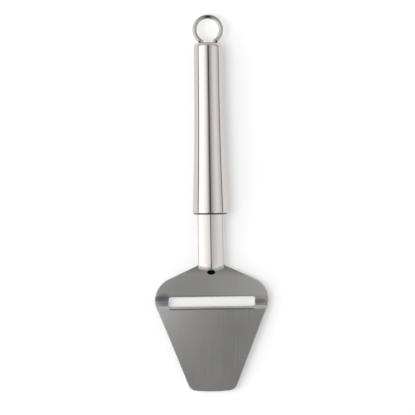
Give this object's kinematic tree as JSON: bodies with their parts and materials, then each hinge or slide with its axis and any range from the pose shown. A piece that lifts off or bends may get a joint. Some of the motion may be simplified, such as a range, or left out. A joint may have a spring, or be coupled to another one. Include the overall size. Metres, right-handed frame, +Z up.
{
  "type": "cheese slicer",
  "caption": "Cheese slicer: slotted steel plate with a dished cutting lip, on a rolled hollow neck in a flared round handle that ends in a hanging ring.",
  "frame": {"origin": "under the middle of the whole slicer, on the level of the handle's lowest point as it lies on a table", "axes": "+Y along the handle from the blade's tip to the hanging ring, +X across the blade, +Z up from the face that carries the slice"},
  "size_m": [0.074, 0.245, 0.0232],
  "materials": {
    "blade_steel": "satin brushed stainless sheet",
    "handle_steel": "satin ground along the handle",
    "ring_wire": "polished stainless wire"
  },
  "bodies": {
    "slicer": {"blade": "blade_steel", "front_plug": "handle_steel", "handle_tube": "handle_steel", "end_cap": "handle_steel"},
    "ring": {"hanging_ring": "ring_wire"}
  },
  "joints": [
    {"name": "ring_swing", "type": "hinge", "parent": "slicer", "child": "ring", "pos_m": [0, 0.10101, 0.0116], "axis": [1, 0, 0], "range_deg": [-30, 30]}
  ]
}
